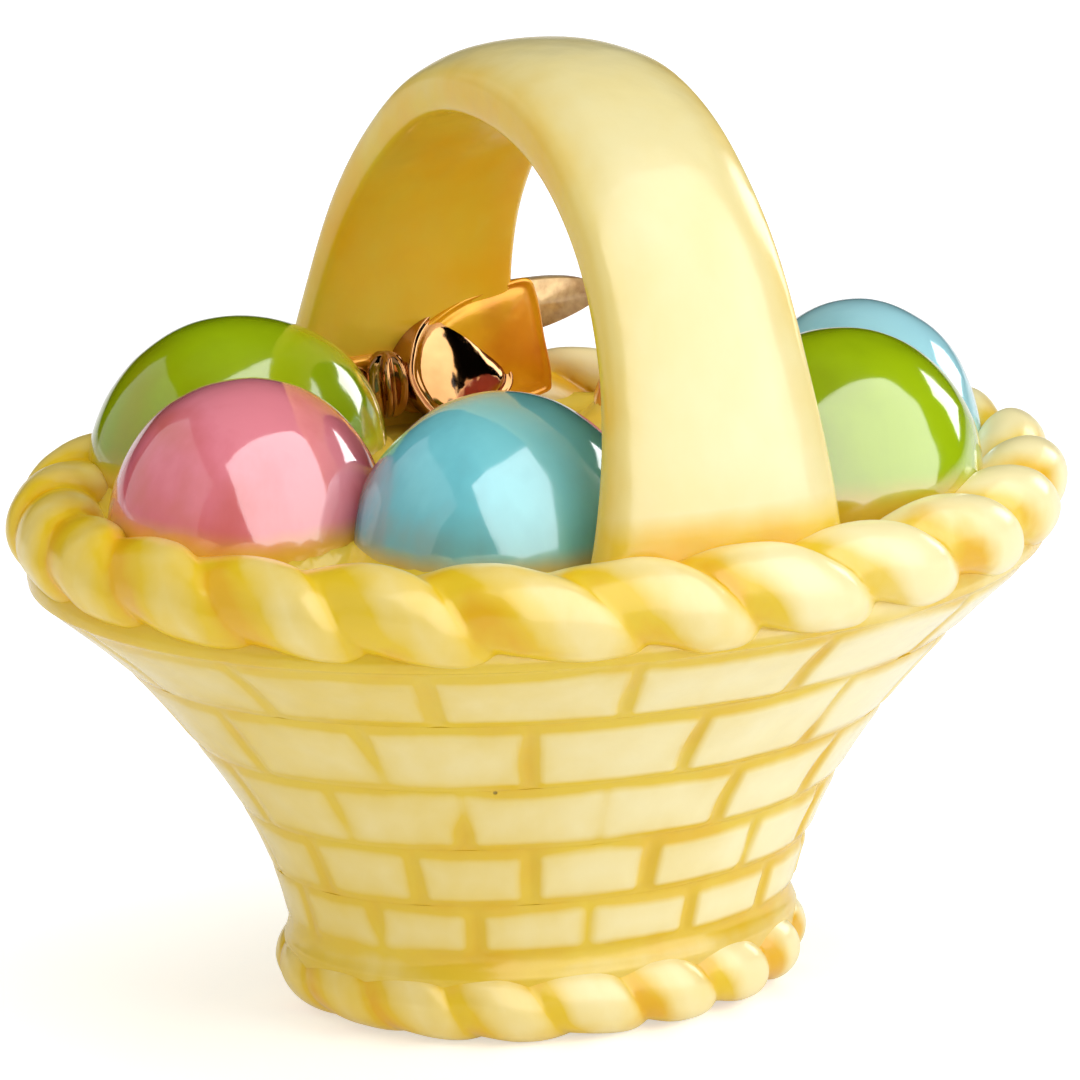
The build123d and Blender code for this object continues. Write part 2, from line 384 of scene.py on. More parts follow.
def glaze(name, thin, deep, shade, patches, stain=0.5, patch_size=160.0, pinholes=1.0, run=None,
          dullness=0.22, drift=0.6):
    """A glazed finish, its colours as screen levels. run is the height band, in metres, that the
    basket's yellow creeps up. Only the eggs have one, and with it a glossier coat without the painted
    side shade. drift is how much painted shade the colour gets towards -X, away from the key light."""
    finish, tree, shader = principled(name)
    pool_and_shade = field(tree, "ShaderNodeAttribute", output="Fac", attribute_name="pool_and_shade")
    group = add(tree, "ShaderNodeGroup", node_tree=glaze_group)
    sockets = {"Thin": colour(*thin), "Deep": colour(*deep), "Shade": colour(*shade), "Pool And Shade": pool_and_shade}
    sockets |= {"Patches": patches, "Stain": stain, "Patch Size": patch_size, "Pinholes": pinholes}
    sockets["Dullness"] = EGG_DULLNESS if run else dullness
    sockets["Side Shade"] = 0.0 if run else drift
    for label, value in sockets.items():
        plug(tree, group.inputs[label], value)
    body = Field(tree, group.outputs["Colour"])
    if run:
        place = field(tree, "ShaderNodeTexCoord", output="Object")
        height = unpack(tree, place)[2] + grain(tree, place, 200.0) * CREEP_WANDER
        creep = ((run[1] - height) / (run[1] - run[0])).smooth()
        body = mix(tree, creep * CREEP_COVER, body, colour(*YELLOW_DEEP))
    bump = add(tree, "ShaderNodeBump", {"Height": Field(tree, group.outputs["Height"])})
    bump.inputs["Distance"].default_value = RIPPLE if run else RIPPLE * BASKET_RIPPLE
    plug(tree, shader.inputs["Base Color"], body)
    plug(tree, shader.inputs["Roughness"], Field(tree, group.outputs["Roughness"]))
    plug(tree, shader.inputs["Normal"], Field(tree, bump.outputs[0]))
    for label, value in (EGG_COAT if run else BASKET_COAT).items():
        shader.inputs[label].default_value = value
    return finish


YELLOW_THIN = (248, 238, 190)
YELLOW_DEEP = (228, 186, 36)
AMBER = (232, 176, 6)
# drift below is painted shade: each glaze darkens and deepens towards -X, away from the key light.
basket_glaze = glaze(
    "basket_glaze", YELLOW_THIN, (228, 196, 54), (224, 174, 20), 0.38, stain=0.8, drift=0.7,
)
rope_glaze = glaze(
    "rope_glaze", (250, 236, 178), (234, 198, 30), (232, 178, 4), 0.6, stain=2.2,
    dullness=0.30, drift=0.85,
)
handle_glaze = glaze(
    "handle_glaze", (241, 229, 172), (234, 200, 60), (240, 176, 14), 0.40,
    stain=0.9, patch_size=115.0, drift=0.35,
)
bed_glaze = glaze("bed_glaze", (236, 212, 80), (212, 180, 24), (184, 154, 10), 0.5)
green_glaze = glaze(
    "green_glaze", (164, 194, 12), (112, 142, 2), AMBER, 0.8, patch_size=130.0,
    pinholes=0.0, run=(0.0268, 0.0290),
)
pink_glaze = glaze(
    "pink_glaze", (242, 142, 156), (202, 62, 80), AMBER, 0.95, patch_size=150.0,
    pinholes=0.0, run=(0.0266, 0.0282),
)
blue_glaze = glaze(
    "blue_glaze", (132, 220, 230), (50, 152, 178), AMBER, 0.8, patch_size=140.0,
    pinholes=0.0, run=(0.0262, 0.0278),
)
# A paler copy of the blue glaze for the blue egg at the right, nearest the key light: painted reflection.
blue_painted_sheen_glaze = glaze(
    "blue_painted_sheen_glaze", (170, 228, 240), (92, 182, 210), AMBER, 0.8, patch_size=140.0,
    pinholes=0.0, run=(0.0262, 0.0278),
)
print("glazes:", [m.name for m in bpy.data.materials if m.name.endswith("glaze")])

# %% [markdown]
# ## Gold lustre
# The bow is painted with liquid bright gold, which fires to a metal film far thinner than a hair and
# takes the gloss of the glaze under it. Where it lies thick, on the knot and the loops, it is a dark
# mirror. Where it was brushed thin over yellow, on the flat ribbon, it is brighter and softer, and on
# the ribbon ends it is worn to a rosy tan. One maker gives all three.

# %% Gold


def make_gold(name, bright, dull, metallic, roughness, wear):
    """A gold film. wear scales the fine roughness of its surface."""
    finish, tree, shader = principled(name)
    place = field(tree, "ShaderNodeTexCoord", output="Object")
    broad = grain(tree, place, 300.0, 3.0)
    fine = grain(tree, place, 1800.0, 4.0)
    worn = (broad * 1.8 + fine * wear * 0.5 + 0.5).clamp()
    body = mix(tree, worn, colour(*bright), colour(*dull))
    bump = add(tree, "ShaderNodeBump", {"Height": broad + fine * 0.1 * wear})
    bump.inputs["Distance"].default_value = RIPPLE
    plug(tree, shader.inputs["Base Color"], body)
    plug(tree, shader.inputs["Roughness"], (fine * 0.08 * wear + roughness).clamp())
    plug(tree, shader.inputs["Normal"], Field(tree, bump.outputs[0]))
    shader.inputs["Metallic"].default_value = metallic
    shader.inputs["Coat Weight"].default_value = 0.3
    shader.inputs["Coat Roughness"].default_value = 0.05
    return finish


gold_lustre = make_gold("gold_lustre", (198, 152, 98), (146, 96, 50), 1.0, 0.07, 0.2)
gold_wash = make_gold("gold_wash", (246, 186, 30), (216, 136, 8), 0.35, 0.26, 0.6)
gold_worn = make_gold("gold_worn", (218, 184, 126), (158, 112, 58), 0.35, 0.36, 2.8)
print("gold made")

# %% [markdown]
# ## Growing a piece from a node tree
# A Geometry Nodes tree is run on an empty mesh, its inputs are set by their identifiers, and the
# result is turned into a plain mesh. The object stays at the origin, with its place in its mesh.

# %% Tree helpers
NUMBER, WHOLE = "NodeSocketFloat", "NodeSocketInt"


def shape_tree(name, inputs):
    """A geometry tree whose inputs are all numbers but the last, the finish."""
    sockets = dict(inputs)
    sockets["Finish"] = ("NodeSocketMaterial", None)
    return group_with(name, "GeometryNodeTree", sockets, {"Shape": "NodeSocketGeometry"})


def keep(tree, shape, label, value, kind="FLOAT"):
    """Stores a value on every point under a name."""
    inputs = {"Geometry": shape, "Name": label, "Value": value}
    return field(tree, "GeometryNodeStoreNamedAttribute", inputs, data_type=kind)


def recall(tree, label, kind="FLOAT"):
    return field(tree, "GeometryNodeInputNamedAttribute", {"Name": label}, data_type=kind)


def moved(tree, shape, place=None, offset=None):
    given = {"Position": place, "Offset": offset}
    inputs = {label: value for label, value in given.items() if value}
    return field(tree, "GeometryNodeSetPosition", {"Geometry": shape} | inputs)


def end_tree(tree, out, shape, finish):
    """Smooth shading, real geometry in place of instances, and the finish."""
    smooth = field(tree, "GeometryNodeSetShadeSmooth", {"Geometry": shape})
    real = field(tree, "GeometryNodeRealizeInstances", {"Geometry": smooth})
    coated = field(tree, "GeometryNodeSetMaterial", {"Geometry": real, "Material": finish})
    plug(tree, out.inputs[0], coated)


def grow(name, tree, values, finish):
    """Runs a tree and returns its result as a plain mesh object."""
    maker = link(name + "_maker", bpy.data.meshes.new(name + "_maker"))
    modifier = maker.modifiers.new("shape", "NODES")
    modifier.node_group = tree
    for item in tree.interface.items_tree:
        if item.in_out == "INPUT":
            modifier[item.identifier] = finish if item.name == "Finish" else values[item.name]
    graph = bpy.context.evaluated_depsgraph_get()
    mesh = bpy.data.meshes.new_from_object(maker.evaluated_get(graph), depsgraph=graph)
    maker.modifiers.remove(modifier)
    bpy.data.objects.remove(maker)
    mesh.name = name
    return link(name, mesh)


def settle(piece, slot, *nodes):
    """Ties a finished piece to the one body and hides the CAD nodes it stands for. slot is not used."""
    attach(piece, "root")
    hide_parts(*nodes)
    print(piece.name, "faces:", len(piece.data.polygons))


print("tree helpers ready")

# %% [markdown]
# ## The woven wall
# On the cast basket the weave is a relief: courses of raised slabs in running bond, on an oval wall
# that flares as a power of its height. Each course is one ring. Its tree starts from an open
# cylinder, sends every point to its place on the flaring wall, and then sinks the points that lie
# near a groove. The distance to the nearest groove also becomes the pool attribute, because that is
# where the glaze collects. A slow noise fills some joints almost level, as thick glaze does, and the
# whole weave grows fainter towards the end at -X, where the wall is also a little hollower under the
# rim.

# %% Woven course tree
HOLLOW_MIDDLE = 19.5 * MM  # the height of the slight hollow in the wall at -X
HOLLOW_HALF = 5.5 * MM
HOLLOW_DEPTH = 0.3 * MM
SHOULDER_BEND = 350.0  # how fast the wall turns in above its shoulder, per metre
HEM_BEND = 300.0  # how fast it flares below its hem, per metre
HEM_MOST = 0.35 * MM
EDGE_WAVER = 0.6 * MM  # how far the level grooves wander up and down
FACE_WAVER = 0.16 * MM  # how far the slabs' faces wander in and out


def make_course_tree():
    tree, given, out = shape_tree("woven_course", {
        "Low": (NUMBER, 0.0), "High": (NUMBER, 0.01),
        "Strip Low": (NUMBER, 0.0), "Strip High": (NUMBER, 0.01),
        "Slabs": (WHOLE, 15), "Shift": (NUMBER, 0.0),
        "Relief": (NUMBER, 0.0005), "Groove": (NUMBER, 0.0008),
        "Foot Length": (NUMBER, 0.0134), "Flare": (NUMBER, 0.0126),
        "Flare Low": (NUMBER, 0.002), "Flare High": (NUMBER, 0.022), "Power": (NUMBER, 1.9),
        "Ratio Low": (NUMBER, 0.739), "Ratio High": (NUMBER, 0.779), "Rim": (NUMBER, 0.0255),
        "Shoulder": (NUMBER, 0.023), "Hem": (NUMBER, 0.0046),
    })
    tube = field(tree, "GeometryNodeMeshCylinder", {
        "Vertices": 480, "Side Segments": 40, "Radius": 1.0, "Depth": 1.0,
    }, fill_type="NONE")
    place = field(tree, "GeometryNodeInputPosition")
    x, y, z = unpack(tree, place)
    height = given["Strip Low"] + (z + 0.5) * (given["Strip High"] - given["Strip Low"])
    over = (height - given["Shoulder"]).do("MAXIMUM", 0.0)
    rise = ((height - over - given["Flare Low"]) / (given["Flare High"] - given["Flare Low"]))
    reach = given["Foot Length"] + given["Flare"] * rise.do("MAXIMUM", 0.0) ** given["Power"]
    under = (given["Hem"] - height).do("MAXIMUM", 0.0)
    lean = (1.0 - ((height - HOLLOW_MIDDLE) / HOLLOW_HALF).do("ABSOLUTE")).smooth()
    reach = reach - lean * (x.do("MINIMUM", 0.0) ** 2.0) * HOLLOW_DEPTH
    hem = (under * under * HEM_BEND).do("MINIMUM", HEM_MOST)
    reach = reach - over * over * SHOULDER_BEND + hem
    share = ((height - given["Flare Low"]) / (given["Rim"] - given["Flare Low"])).clamp()
    ratio = given["Ratio Low"] + (given["Ratio High"] - given["Ratio Low"]) * share
    wide = reach * ratio
    wall = pack(tree, reach * x, wide * y, height)
    wobble = grain(tree, wall, 170.0, 1.0)
    waver = grain(tree, wall, 90.0, 1.0)
    turn = y.do("ARCTAN2", x) / (2 * math.pi)
    along = turn * given["Slabs"] + given["Shift"] + wobble * 0.10
    part = along.do("FRACT")
    arc = ((reach * y) ** 2.0 + (wide * x) ** 2.0) ** 0.5
    to_joint = (0.5 - (part - 0.5).do("ABSOLUTE")) * arc * (2 * math.pi) / given["Slabs"]
    level = height + waver * EDGE_WAVER
    to_edge = (level - given["Low"]).do("MINIMUM", given["High"] - level)
    filled = (wobble * 2.6 + waver * 1.6 + 0.9).clamp()
    near_joint = (1.0 - to_joint / (given["Groove"] * (wobble * 0.9 + 1.0))).clamp() * filled
    near_edge = (1.0 - to_edge / given["Groove"]).clamp() * (waver * 1.8 + 0.85).clamp()
    near = ((near_joint * near_joint + near_edge * near_edge) ** 0.5).clamp()
    near = near * (x.do("MINIMUM", 0.0) * 0.55 + 1.0)
    sunk = near.smooth()
    margin = (1.0 - to_edge.do("MINIMUM", to_joint) / (given["Groove"] * 2.4)).clamp()
    past = (to_edge * -1.0 / given["Groove"]).clamp()
    pool_and_shade = ((near * 1.5).smooth() * 0.8 + margin * margin * 0.25) * (1.0 - past * 0.4)
    pool_and_shade = pool_and_shade - (1.0 - margin) * 0.07
    shape = keep(tree, tube, "pool_and_shade", pool_and_shade)
    lift = sunk * given["Relief"] * (1.0 - past) * -1.0 + waver * FACE_WAVER
    shape = keep(tree, shape, "lift", lift)
    shape = moved(tree, shape, place=wall)
    normal = field(tree, "GeometryNodeInputNormal")
    shape = moved(tree, shape, offset=scaled(tree, normal, recall(tree, "lift")))
    end_tree(tree, out, shape, given["Finish"])
    return tree


course_tree = make_course_tree()
print("course tree nodes:", len(course_tree.nodes))

# %% [markdown]
# ## Five courses
# The groove heights run from under the rim to above the foot. Every other course is shifted by half
# a slab. The top strip carries on under the rim rope, and the bottom one down behind the foot rope,
# where it flares a little to meet it, so that no gap shows. A Solidify modifier gives each strip its
# thickness, inwards, which closes its mesh. The cut rims are marked sharp, so that the shading runs
# straight on from one strip to the next.

# %% Courses
COURSE_EDGES = [22.75, 19.0, 14.75, 11.0, 7.65, 4.8]
STRIP_TOP = 24.7
STRIP_BOTTOM = 2.8
STRIP_THICKNESS = 0.4 * MM
SLABS = 15
FIRST_SHIFT = 0.25
CRISP = math.radians(50)  # edges sharper than this aren't shaded smooth
WALL_VALUES = {
    "Slabs": SLABS, "Relief": 0.24 * MM, "Groove": 0.72 * MM,
    "Foot Length": 13.4 * MM, "Flare": 12.6 * MM, "Flare Low": 2.0 * MM, "Flare High": 22.0 * MM,
    "Power": 1.9, "Ratio Low": 0.739, "Ratio High": 0.779, "Rim": 25.5 * MM, "Shoulder": 23.0 * MM,
    "Hem": 4.7 * MM,
}


def thickened(strip, name, thickness):
    """A closed wall from an open strip, grown inwards, with crisp edges along its cut rims."""
    thick = strip.modifiers.new("thickness", "SOLIDIFY")
    thick.thickness = thickness
    thick.offset = -1.0
    graph = bpy.context.evaluated_depsgraph_get()
    mesh = bpy.data.meshes.new_from_object(strip.evaluated_get(graph), depsgraph=graph)
    bpy.data.objects.remove(strip)
    mesh.set_sharp_from_angle(angle=CRISP)
    mesh.name = name
    return link(name, mesh)


LAST_COURSE = len(COURSE_EDGES) - 2
for index in range(LAST_COURSE + 1):
    high, low = COURSE_EDGES[index], COURSE_EDGES[index + 1]
    values = dict(WALL_VALUES)
    values["Low"] = low * MM
    values["High"] = high * MM
    values["Strip Low"] = (STRIP_BOTTOM if index == LAST_COURSE else low) * MM
    values["Strip High"] = (STRIP_TOP if index == 0 else high) * MM
    values["Shift"] = FIRST_SHIFT + 0.5 * (index % 2)
    name = f"weave_course_{index + 1}"
    strip = grow(name + "_strip", course_tree, values, basket_glaze)
    settle(thickened(strip, name + "_glazed", STRIP_THICKNESS), "yellow_glaze", name)

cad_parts["basket_shell"].data.materials.clear()
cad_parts["basket_shell"].data.materials.append(basket_glaze)

# %% [markdown]
# ## Twisted ropes
# Each rope is one strand pair laid in an oval ring. A curve circle is stretched to the oval, given a
# round section, and every point is then moved in or out along its own section. The lay of the rope is
# a helix: the phase grows along the ring and also round the section, and where it passes a whole
# number a groove runs. Seen from outside such grooves lean over as they go down, in a long S. A power
# on the phase makes each lobe lopsided: it rises slowly out of one groove, where the glaze lies
# golden, and drops steeply into the next. More glaze runs to the bottom than stays on top, and the
# lobes are shallower at -X.

# %% Rope tree
SECTION_POINTS = 56
LAY_EASE = 0.11  # evens out the helix round the section
LEFT_THINNING = 0.4 * MM  # how much the rope's underside thins towards -X


def make_rope_tree():
    tree, given, out = shape_tree("twisted_rope", {
        "Half Length": (NUMBER, 0.0255), "Half Width": (NUMBER, 0.0199), "Height": (NUMBER, 0.0255),
        "Radius": (NUMBER, 0.0025), "Lobes": (WHOLE, 24), "Strands": (WHOLE, 2),
        "Phase": (NUMBER, 0.0), "Depth": (NUMBER, 0.0006), "Around": (WHOLE, 480),
        "Lean": (NUMBER, 1.5),
    })
    unit = {"Resolution": given["Around"], "Radius": 1.0}
    circle = field(tree, "GeometryNodeCurvePrimitiveCircle", unit)
    place = field(tree, "GeometryNodeInputPosition")
    x, y = unpack(tree, place)[:2]
    oval = pack(tree, x * given["Half Length"], y * given["Half Width"], given["Height"])
    path = moved(tree, circle, place=oval)
    path = keep(tree, path, "middle", place, "FLOAT_VECTOR")
    round_section = {"Resolution": SECTION_POINTS, "Radius": given["Radius"]}
    section = field(tree, "GeometryNodeCurvePrimitiveCircle", round_section)
    tube = field(tree, "GeometryNodeCurveToMesh", {"Curve": path, "Profile Curve": section})
    middle = recall(tree, "middle", "FLOAT_VECTOR")
    mx, my = unpack(tree, middle)[:2]
    spoke = vector_node(tree, "SUBTRACT", place, middle)
    sx, sy, sz = unpack(tree, spoke)
    out_x = mx / (given["Half Length"] ** 2.0)
    out_y = my / (given["Half Width"] ** 2.0)
    size = (out_x * out_x + out_y * out_y) ** 0.5
    outward = (sx * out_x + sy * out_y) / size
    round_turn = sz.do("ARCTAN2", outward) / (2 * math.pi)
    turn = (my / given["Half Width"]).do("ARCTAN2", mx / given["Half Length"]) / (2 * math.pi)
    drift = grain(tree, middle, 120.0, 1.0)
    lay = round_turn * given["Strands"] - (round_turn * (2 * math.pi)).do("SINE") * LAY_EASE
    along = turn * given["Lobes"] + lay + given["Phase"] + drift * 0.3
    part = along.do("FRACT") ** given["Lean"]
    crest = 1.0 - ((part * 2.0) - 1.0).do("ABSOLUTE")
    soft = grain(tree, place, 230.0, 1.5)
    valley = (1.0 - crest) ** 2.6 * (soft * 0.9 + drift * 1.2 + 0.95).clamp()
    depth = given["Depth"] * (mx / given["Half Length"] * 0.4 + 1.0)
    radius = given["Radius"] - depth * valley + given["Depth"] * (drift * 0.5 + soft * 0.45)
    sag = sz / given["Radius"]
    left = (mx.do("MINIMUM", 0.0) / given["Half Length"]) ** 4.0
    radius = radius - left * (sag * -1.0).clamp() * LEFT_THINNING
    behind = (1.0 - part) ** 9.0 * (2.4 - sag * 0.8) * (soft * 2.2 + 1.0)
    before = part ** 14.0 * 0.7
    pool_and_shade = (behind + before + (sag * -1.0 - 0.35).do("MAXIMUM", 0.0) * 0.5).clamp()
    pool_and_shade = pool_and_shade - crest * crest * 0.22
    shape = keep(tree, tube, "pool_and_shade", pool_and_shade)
    step = scaled(tree, vector_node(tree, "NORMALIZE", spoke), radius)
    shape = moved(tree, shape, place=vector_node(tree, "ADD", middle, step))
    end_tree(tree, out, shape, given["Finish"])
    return tree


rope_tree = make_rope_tree()
ROPES = {
    "rim_rope": {
        "Half Length": 25.54 * MM, "Half Width": 19.9 * MM, "Height": 25.5 * MM, "Radius": 2.55 * MM,
        "Lobes": 24, "Strands": 2, "Phase": 0.06, "Depth": 0.84 * MM, "Around": 720, "Lean": 1.5,
    },
    "foot_rope": {
        "Half Length": 12.17 * MM, "Half Width": 9.0 * MM, "Height": 2.08 * MM, "Radius": 2.07 * MM,
        "Lobes": 17, "Strands": 2, "Phase": 0.33, "Depth": 0.44 * MM, "Around": 540, "Lean": 1.3,
    },
}
for name, values in ROPES.items():
    settle(grow(name + "_glazed", rope_tree, values, rope_glaze), "yellow_glaze", name)

# %% [markdown]
# ## Meshes from rings of points
# The handle and the bow aren't grown from trees. They are rings of points, each joined to the next by
# quads. Every mesh made that way is finished alike: shaded smooth, in one glaze.

# %% Mesh helpers


def skin(shape, rings):
    """Joins each ring of points to the next."""
    count = len(rings[0])
    for near, far in zip(rings, rings[1:]):
        for k in range(count):
            after = (k + 1) % count
            shape.faces.new((near[k], near[after], far[after], far[k]))


def cap(shape, rings):
    """Closes the first and the last ring with one face each."""
    shape.faces.new(rings[0])
    shape.faces.new(list(reversed(rings[-1])))


def finish_mesh(name, shape, finish):
    """Turns a bmesh into a smooth-shaded object with one finish."""
    mesh = bpy.data.meshes.new(name)
    for face in shape.faces:
        face.smooth = True
    shape.to_mesh(mesh)
    shape.free()
    mesh.materials.append(finish)
    return link(name, mesh)


print("mesh helpers ready")

# %% [markdown]
# ## Strap handle
# The handle is a strap of D section, flat inside and crowned outside, bent over a tall arch and wider
# at its feet. A coarse cage of a few points per section is swept along the arch, and a Subdivision
# Surface rounds it. The strap is thickest at its top, and each foot spreads a little where the slip
# was smoothed into the rim. The glaze lies deep on the inner face, on the edges and in the crease
# over the rim, so each cage point gets its own pool value. All its sizes are in mm.

# %% Handle
HANDLE_X = 0.6
ARCH_SPRING = 26.0
ARCH_RISE = 20.25
ARCH_HALF_SPAN = 16.1
ARCH_POWER_Y = 2.22
ARCH_POWER_Z = 1.94
ARCH_LEAN = 0.5  # the top of the arch stands this far to +X of its feet
STRAP_TOP_WIDTH = 10.1
STRAP_FLARE = 4.0
STRAP_EDGE = 1.8
STRAP_CROWN = 3.0
TOP_THICKENING = 0.6  # how much further in the strap reaches at its top
FOOT_TOP = 27.0  # below this height each foot spreads
CREASE_TOP = 29.3  # and below this one glaze gathers over the rim
HANDLE_LUMP = 0.2
HANDLE_STEPS = 40


def arch_point(turn):
    """A point on the arch's inner curve in mm, turn running from 0 at -Y to pi at +Y."""
    c, s = math.cos(turn), max(math.sin(turn), 0.0)
    y = -ARCH_HALF_SPAN * math.copysign(abs(c) ** (2 / ARCH_POWER_Y), c)
    rise = ARCH_RISE * s ** (2 / ARCH_POWER_Z)
    return Vector((HANDLE_X + ARCH_LEAN * rise / ARCH_RISE, y, ARCH_SPRING + rise))


def strap_outline(half):
    """The cage of the D section: across the strap, and out from its inner face."""
    right = [
        (half - 1.0, 0.0), (half - 0.25, 0.08), (half, 0.45), (half, STRAP_EDGE - 0.45),
        (half - 0.35, STRAP_EDGE + 0.08), (half - 1.3, STRAP_EDGE + 0.5),
        (half * 0.5, STRAP_CROWN - 0.2), (0.0, STRAP_CROWN),
    ]
    left = [(-x, y) for x, y in reversed(right[:-1])]
    return right + left + [(0.0, 0.0)]


def handle_pool(out, height):
    """How deep the glaze lies on the strap: full on its inner face, some in the crease at the rim."""
    inside = min(max((2.5 - out) / 1.6, 0.0), 1.0)
    crease = min(max((CREASE_TOP - height) / 0.9, 0.0), 1.0)
    return max(0.92 * inside, crease)


def handle_sections():
    """Each section's origin, outward direction and half width, from the -Y foot to the +Y foot."""
    first = 0.02
    stations = [(Vector((HANDLE_X, -ARCH_HALF_SPAN, z)), Vector((0, -1, 0))) for z in (24.6, 25.4)]
    for i in range(HANDLE_STEPS + 1):
        turn = first + (math.pi - 2 * first) * i / HANDLE_STEPS
        run = (arch_point(turn + 0.005) - arch_point(turn - 0.005)).normalized()
        stations.append((arch_point(turn), run.cross(Vector((1, 0, 0))) * -1))
    stations += [(Vector((HANDLE_X, ARCH_HALF_SPAN, z)), Vector((0, 1, 0))) for z in (25.4, 24.6)]
    return stations


def make_handle():
    shape = bmesh.new()
    pool_and_shade = shape.verts.layers.float.new("pool_and_shade")
    rings = []
    for origin, outward in handle_sections():
        drop = min((ARCH_SPRING + ARCH_RISE - origin.z) / ARCH_RISE, 1.05)
        foot = max(0.0, FOOT_TOP - origin.z) ** 2 * 0.10
        half = (STRAP_TOP_WIDTH + STRAP_FLARE * drop ** 2) / 2 + foot
        ring = []
        for across, out in strap_outline(half):
            if out > 1.0:
                spread = out + foot * 0.7
            else:
                spread = out - foot * 0.4 - TOP_THICKENING * max(0.0, 0.5 - drop) / 0.5
            point = origin + Vector((across, 0, 0)) + outward * spread
            lump = noise.noise(point * 0.16) * HANDLE_LUMP
            vert = shape.verts.new((point + outward * lump) * MM)
            vert[pool_and_shade] = handle_pool(out, point.z)
            ring.append(vert)
        rings.append(ring)
    skin(shape, rings)
    cap(shape, rings)
    bmesh.ops.recalc_face_normals(shape, faces=shape.faces)
    piece = finish_mesh("handle_glazed", shape, handle_glaze)
    rounder = piece.modifiers.new("round", "SUBSURF")
    rounder.levels = rounder.render_levels = 3
    return piece


settle(make_handle(), "yellow_glaze", "handle")

# %% [markdown]
# ## Eggs
# A hen's egg is two half ellipsoids of one girth, one long and one short. Each egg here is a fine
# icosphere stretched that way, laid down at its own heading and modelled as a rather full dome, with
# the slight lumpiness of a piece pressed by hand, so that the reflections on it waver. Its colour is
# painted darker low down, on the side towards -X, away from the key light, and where eggs meet:
# painted shade.

# %% Eggs
EGG_FINENESS = 6
EGG_CONTACT = 2.4  # painted shade gathers where the next egg is nearer than this, in mm
EGGS = {  # centre, heading, blunt, pointed, short and upright semi-axes, in mm; finish
    "egg_green_left": ((-12.2, 10.1, 26.7), 185.0, 7.9, 8.2, 6.5, 7.6, green_glaze),
    "egg_pink_left": ((-16.7, -0.2, 26.3), 35.0, 7.1, 7.3, 7.0, 7.6, pink_glaze),
    "egg_blue_left": ((-6.5, -7.9, 26.1), 20.0, 7.5, 8.1, 7.1, 7.6, blue_glaze),
    "egg_green_right": ((12.8, -8.0, 26.7), 15.0, 7.6, 8.0, 7.0, 8.0, green_glaze),
    "egg_blue_right": ((19.2, 1.0, 25.9), 100.0, 6.6, 7.0, 6.0, 7.6, blue_painted_sheen_glaze),
    "egg_pink_right": ((13.6, 9.6, 26.2), 60.0, 4.9, 5.3, 4.7, 5.2, pink_glaze),
}


def egg_gap(point, centre, heading, blunt, pointed, short, upright, finish):
    """About how far a point is from an egg's surface, in mm, negative inside."""
    away = Matrix.Rotation(math.radians(-heading), 3, "Z") @ (point - Vector(centre))
    long = blunt if away.x > 0 else pointed
    return (math.hypot(away.x / long, away.y / short, away.z / upright) - 1) * short


def make_egg(name, centre, heading, blunt, pointed, short, upright, finish):
    others = [egg for label, egg in EGGS.items() if label != name]
    shape = bmesh.new()
    pool_and_shade = shape.verts.layers.float.new("pool_and_shade")
    bmesh.ops.create_icosphere(shape, subdivisions=EGG_FINENESS, radius=1.0)
    turn = Matrix.Rotation(math.radians(heading), 3, "Z")
    for vert in shape.verts:
        way = vert.co.copy()
        long = blunt if way.x > 0 else pointed
        point = turn @ Vector((way.x * long, way.y * short, way.z * upright)) + Vector(centre)
        lump = noise.noise(point * 0.22) * 0.12 + noise.noise(point * 0.5) * 0.04
        side = turn @ way
        gap = min(egg_gap(point, *egg) for egg in others)
        # Painted shade: darker towards -X, away from the key light, low down, and where another egg is
        # near.
        vert[pool_and_shade] = 0.7 * max(0.0, -side.x) ** 1.5 + 0.5 * max(0.0, 0.45 - side.z) ** 2
        vert[pool_and_shade] += 0.9 * min(1.0, max(0.0, 1 - gap / EGG_CONTACT)) ** 2
        vert.co = (point + side * lump) * MM
    return finish_mesh(name + "_glazed", shape, finish)


for name, egg in EGGS.items():
    colour_name = name.split("_")[1]
    settle(make_egg(name, *egg), colour_name + "_glaze", name)

# %% [markdown]
# ## The bed under the eggs
# The deck that closes the cup is hardly seen, but between the eggs its glaze runs up their sides in a
# little meniscus, as any liquid does. The bed is a disc of rings in the oval, and each point rises the
# more the nearer it is to an egg or to the rim.

# %% Bed
BED_HALF_LENGTH = 24.0
BED_HALF_WIDTH = 18.0
BED_EDGE = 25.3
BED_CROWN = 27.0
BED_BOTTOM = 22.7
BED_EDGE_SHARE = 0.86  # outside this share of the oval the bed runs up to the rim
MENISCUS = 1.3  # how far out from an egg the glaze runs up it
RUN_UP = 0.9  # and how high, there and at the rim
BED_AROUND, BED_RINGS = 240, 60


def bed_height(x, y):
    share = math.hypot(x / BED_HALF_LENGTH, y / BED_HALF_WIDTH)
    level = BED_EDGE + (BED_CROWN - BED_EDGE) * max(1 - share ** 2, 0)
    near_rim = max(0.0, share - BED_EDGE_SHARE) / 0.14
    level += RUN_UP * near_rim ** 2
    gap = min(egg_gap(Vector((x, y, level)), *egg) for egg in EGGS.values())
    level += RUN_UP * max(0.0, 1 - max(gap, 0) / MENISCUS) ** 2
    return level + noise.noise(Vector((x, y, 0)) * 0.35) * 0.15


